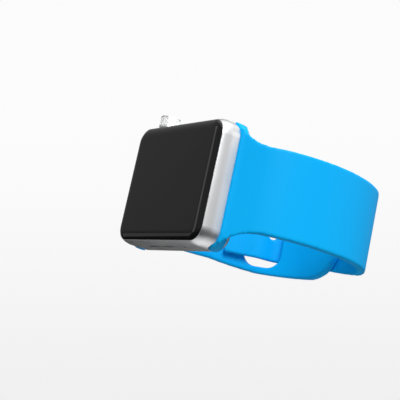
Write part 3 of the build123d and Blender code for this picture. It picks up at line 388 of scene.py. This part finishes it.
# ---------------------------------------------------------------- speaker mesh
# Woven steel cloth behind the three sound ports.
cloth_finish = Finish("woven_steel")
warp = cloth_finish.node("ShaderNodeTexWave", {"bands_direction": "X"}, {
    "Vector": cloth_finish.place(), "Scale": 2000.0})
weft = cloth_finish.node("ShaderNodeTexWave", {"bands_direction": "Y"}, {
    "Vector": cloth_finish.place(), "Scale": 2000.0})
weave_and_hole_shade = warp * weft
# The dark, non-metallic colour between the wires is painted shade in the holes of the weave.
cloth_finish.set(Metallic=cloth_finish.spread(weave_and_hole_shade, 0.0, 1.0, 0.1, 0.3),
                 Base_Color=cloth_finish.blend(weave_and_hole_shade, (0.01, 0.01, 0.01), (0.40, 0.40, 0.41)),
                 Roughness=cloth_finish.spread(weave_and_hole_shade, 0.6, 0.35, 0.0, 1.0),
                 Normal=cloth_finish.bump(weave_and_hole_shade, 0.6, 0.04 * MM))
cloth_finish.dress("acoustic_mesh")

# ---------------------------------------------------------------- crown
# Turned from one bar and knurled, so fine rings run round it; the cap let into its top is polished.
crown_low, crown_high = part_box("crown_knob")
crown_middle = tuple((crown_low + crown_high) / 2)


def turned(name, centre, light, dark, rough, pitch, depth):
    """Turned metal, with tool rings of some depth about an upright axis through a centre."""
    finish = Finish(name)
    rings = finish.node("ShaderNodeTexWave", {"wave_type": "RINGS", "rings_direction": "Z"}, {
        "Vector": finish.place(centre), "Scale": 2 * pi / (20 * pitch),
        "Distortion": 0.4, "Detail": 2.0})
    cloud = finish.noise(400.0, 3.0)
    finish.set(Metallic=1.0,
               Base_Color=finish.blend(cloud, light, dark),
               Roughness=finish.spread(rings, rough - 0.04, rough + 0.05, 0.0, 1.0),
               Normal=finish.bump(rings, depth, 0.01 * MM))
    return finish


tool_pitch, polish_pitch = 0.12 * MM, 0.30 * MM
crown_finish = turned("turned_crown", crown_middle, (0.96, 0.962, 0.965), (0.92, 0.922, 0.926),
                      0.50, tool_pitch, 0.02)
crown_finish.dress("crown_knob", "crown_shaft")
cap_finish = turned("polished_cap", crown_middle, (0.90, 0.90, 0.91), (0.86, 0.86, 0.87),
                    0.09, polish_pitch, 0.12)
cap_finish.dress("crown_cap")

# ---------------------------------------------------------------- rear cover and sensors
# A polished ceramic dome with four dark lenses over the pulse sensor's lamps and diodes.
ceramic_finish = Finish("rear_ceramic")
body = ceramic_finish.noise(120.0, 4.0)
speck = ceramic_finish.noise(4000.0, 2.0)
ceramic_finish.set(Base_Color=ceramic_finish.blend(body, (0.60, 0.61, 0.62), (0.67, 0.68, 0.69)),
                   Roughness=ceramic_finish.spread(body + 0.3 * speck, 0.10, 0.18, 0.45, 0.85),
                   Coat_Weight=0.4, Coat_Roughness=0.05)
ceramic_finish.dress("rear_cover")
lens_finish = Finish("lens_glass")
tint = lens_finish.noise(500.0, 3.0)
lens_finish.set(Base_Color=lens_finish.blend(tint, (0.012, 0.012, 0.016), (0.022, 0.020, 0.028)),
                Roughness=lens_finish.spread(tint, 0.04, 0.10), IOR=1.7)
lens_finish.dress("sensor_lenses")
diode_finish = Finish("diode_resin")
resin = diode_finish.noise(2500.0, 2.0)
diode_finish.set(Base_Color=diode_finish.blend(resin, (0.72, 0.70, 0.42), (0.82, 0.80, 0.55)),
                 Roughness=diode_finish.spread(resin, 0.20, 0.32))
diode_finish.dress("sensor_leds", "sensor_photodiodes")

# ---------------------------------------------------------------- charging coil
# Enamelled copper wire wound flat, over a disc of sintered ferrite and the magnet that centres it.
wire_pitch = 0.35 * MM
coil_finish = Finish("enamelled_copper")
windings_and_groove_shade = coil_finish.node("ShaderNodeTexWave", {"wave_type": "RINGS", "rings_direction": "Y"}, {
    "Vector": coil_finish.place(tuple(case_middle)), "Scale": 2 * pi / (20 * wire_pitch)})
# The dark copper between the windings is painted shade in the grooves; the bump gives their shape.
coil_finish.set(Metallic=1.0,
                Base_Color=coil_finish.blend(windings_and_groove_shade, (0.22, 0.08, 0.03), (0.72, 0.34, 0.17)),
                Roughness=coil_finish.spread(windings_and_groove_shade, 0.45, 0.25, 0.0, 1.0),
                Normal=coil_finish.bump(windings_and_groove_shade, 0.8, 0.08 * MM))
coil_finish.dress("charging_coil")
ferrite_finish = Finish("sintered_ferrite")
grit = ferrite_finish.noise(3500.0, 4.0)
ferrite_finish.set(Base_Color=ferrite_finish.blend(grit, (0.045, 0.044, 0.043),
                                                   (0.085, 0.083, 0.080)),
                   Roughness=ferrite_finish.spread(grit, 0.50, 0.68),
                   Normal=ferrite_finish.bump(grit, 0.3, 0.03 * MM))
ferrite_finish.dress("ferrite_disc", "alignment_magnet")

# ---------------------------------------------------------------- band
# Two straps moulded in dense fluoroelastomer: smooth, matte, with edges rounded by the mould. One
# carries the steel pin, the other is tucked through it.
merge_distance = 0.001 * MM
voxel_size = 0.40 * MM
rounding_factor, rounding_passes = 0.5, 6


def moulded(name, source):
    """A copy of an imported strap with its edges rounded as the mould leaves them."""
    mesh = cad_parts[source].data.copy()
    shape = bmesh.new()
    shape.from_mesh(mesh)
    bmesh.ops.remove_doubles(shape, verts=shape.verts, dist=merge_distance)
    shape.to_mesh(mesh)
    shape.free()
    piece = bpy.data.objects.new(name, mesh)
    bpy.context.scene.collection.objects.link(piece)
    remesh = piece.modifiers.new("remesh", "REMESH")
    remesh.mode = "VOXEL"
    remesh.voxel_size = voxel_size
    smooth = piece.modifiers.new("rounding", "SMOOTH")
    smooth.factor = rounding_factor
    smooth.iterations = rounding_passes
    bpy.context.view_layer.update()
    rounded = piece.evaluated_get(bpy.context.evaluated_depsgraph_get())
    finished = bpy.data.meshes.new_from_object(rounded)
    piece.modifiers.clear()
    piece.data = finished
    finished.name = name
    finished.shade_smooth()
    finished.materials.clear()
    return piece


band_finish = Finish("band_elastomer")
cloud = band_finish.noise(45.0, 3.0)
pores = band_finish.noise(5000.0, 2.0)
band_finish.set(Base_Color=band_finish.blend(cloud, (0.0, 0.44, 0.96), (0.0, 0.47, 1.0)),
                Roughness=band_finish.spread(cloud + 0.3 * pores, 0.46, 0.58, 0.45, 0.85),
                Normal=band_finish.bump(pores, 0.15, 0.02 * MM),
                Specular_IOR_Level=0.10)
for name, source in (("band_with_holes", "strap_long"), ("band_with_pin", "strap_short")):
    strap = moulded(name, source)
    strap.data.materials.append(band_finish.material)
    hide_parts(source)
    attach(strap, "band")

# ---------------------------------------------------------------- closure pin
# Turned steel with a satin face, moulded into the end of the inner strap. Its head goes through a
# hole of the outer strap and holds the band closed.
face_pitch = 0.15 * MM
pin_low, pin_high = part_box("closure_pin")
pin_finish = Finish("satin_pin")
swirl = pin_finish.node("ShaderNodeTexWave", {"wave_type": "RINGS", "rings_direction": "Y"}, {
    "Vector": pin_finish.place(tuple((pin_low + pin_high) / 2)),
    "Scale": 2 * pi / (20 * face_pitch), "Distortion": 0.3})
pin_finish.set(Metallic=1.0,
               Base_Color=pin_finish.blend(swirl, (0.74, 0.75, 0.77), (0.82, 0.83, 0.84)),
               Roughness=pin_finish.spread(swirl, 0.24, 0.34, 0.0, 1.0),
               Normal=pin_finish.bump(swirl, 0.12, 0.01 * MM))
pin_finish.dress("closure_pin")
